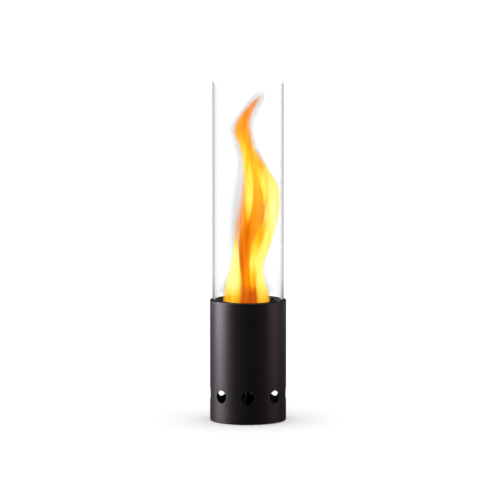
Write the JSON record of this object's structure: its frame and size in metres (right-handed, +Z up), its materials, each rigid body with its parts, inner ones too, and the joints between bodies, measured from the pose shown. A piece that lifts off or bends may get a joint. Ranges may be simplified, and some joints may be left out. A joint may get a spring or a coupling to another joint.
{
  "type": "outdoor heater",
  "caption": "Free-standing cylindrical outdoor heater: a perforated steel base holds a liquid-fuel burner and a louvred ring under a tall open glass chimney.",
  "frame": {"origin": "on the ground at the centre of the casing, in the plane of the feet", "axes": "+Z up along the axis of the casing and glass; -Y is the front, where one air hole faces the viewer"},
  "size_m": [0.12, 0.12, 0.535],
  "materials": {
    "powder_black": "satin black powder coat on mild steel",
    "plate_paint": "black paint on thick steel plate",
    "foot_rubber": "matt moulded rubber",
    "zinc_steel": "bright zinc plate",
    "post_steel": "blackened turned steel",
    "tray_paint": "heat-resistant black paint on pressed steel",
    "ring_paint": "heat-resistant black paint on cut and bent steel",
    "spring_steel": "blued spring steel",
    "gasket_felt": "dense graphite-grey glass-fibre felt",
    "chimney_glass": "clear drawn borosilicate glass, fire-polished ends",
    "can_steel": "deep-drawn stainless steel",
    "collar_paint": "heat-resistant black paint on pressed steel",
    "seal_paper": "pressed ceramic-fibre paper",
    "core_fibre": "packed white ceramic-fibre wool",
    "screen_steel": "perforated stainless steel, heat-tinted"
  },
  "bodies": {
    "base": {"base_casing": "powder_black", "ballast_plate": "plate_paint", "rubber_feet": "foot_rubber", "plate_lugs": "powder_black", "lug_nuts": "zinc_steel", "plate_screws": "zinc_steel", "burner_post": "post_steel", "post_screw": "zinc_steel", "burner_tray": "tray_paint", "tray_screw": "zinc_steel", "ring_brackets": "powder_black", "swirl_ring": "ring_paint", "ring_washers": "zinc_steel", "ring_nuts": "zinc_steel", "ring_screws": "zinc_steel", "centring_springs": "spring_steel", "glass_gasket": "gasket_felt"},
    "glass": {"glass_chimney": "chimney_glass"},
    "burner": {"burner_can": "can_steel", "burner_collar": "collar_paint", "collar_seal": "seal_paper", "fibre_core": "core_fibre", "wool_screen": "screen_steel", "snap_ring": "screen_steel"}
  },
  "joints": [
    {"name": "glass_lift", "type": "slide", "parent": "base", "child": "glass", "axis": [0, 0, 1], "range_m": [0, 0.2]},
    {"name": "burner_lift", "type": "slide", "parent": "base", "child": "burner", "axis": [0, 0, 1], "range_m": [0, 0.14]}
  ]
}
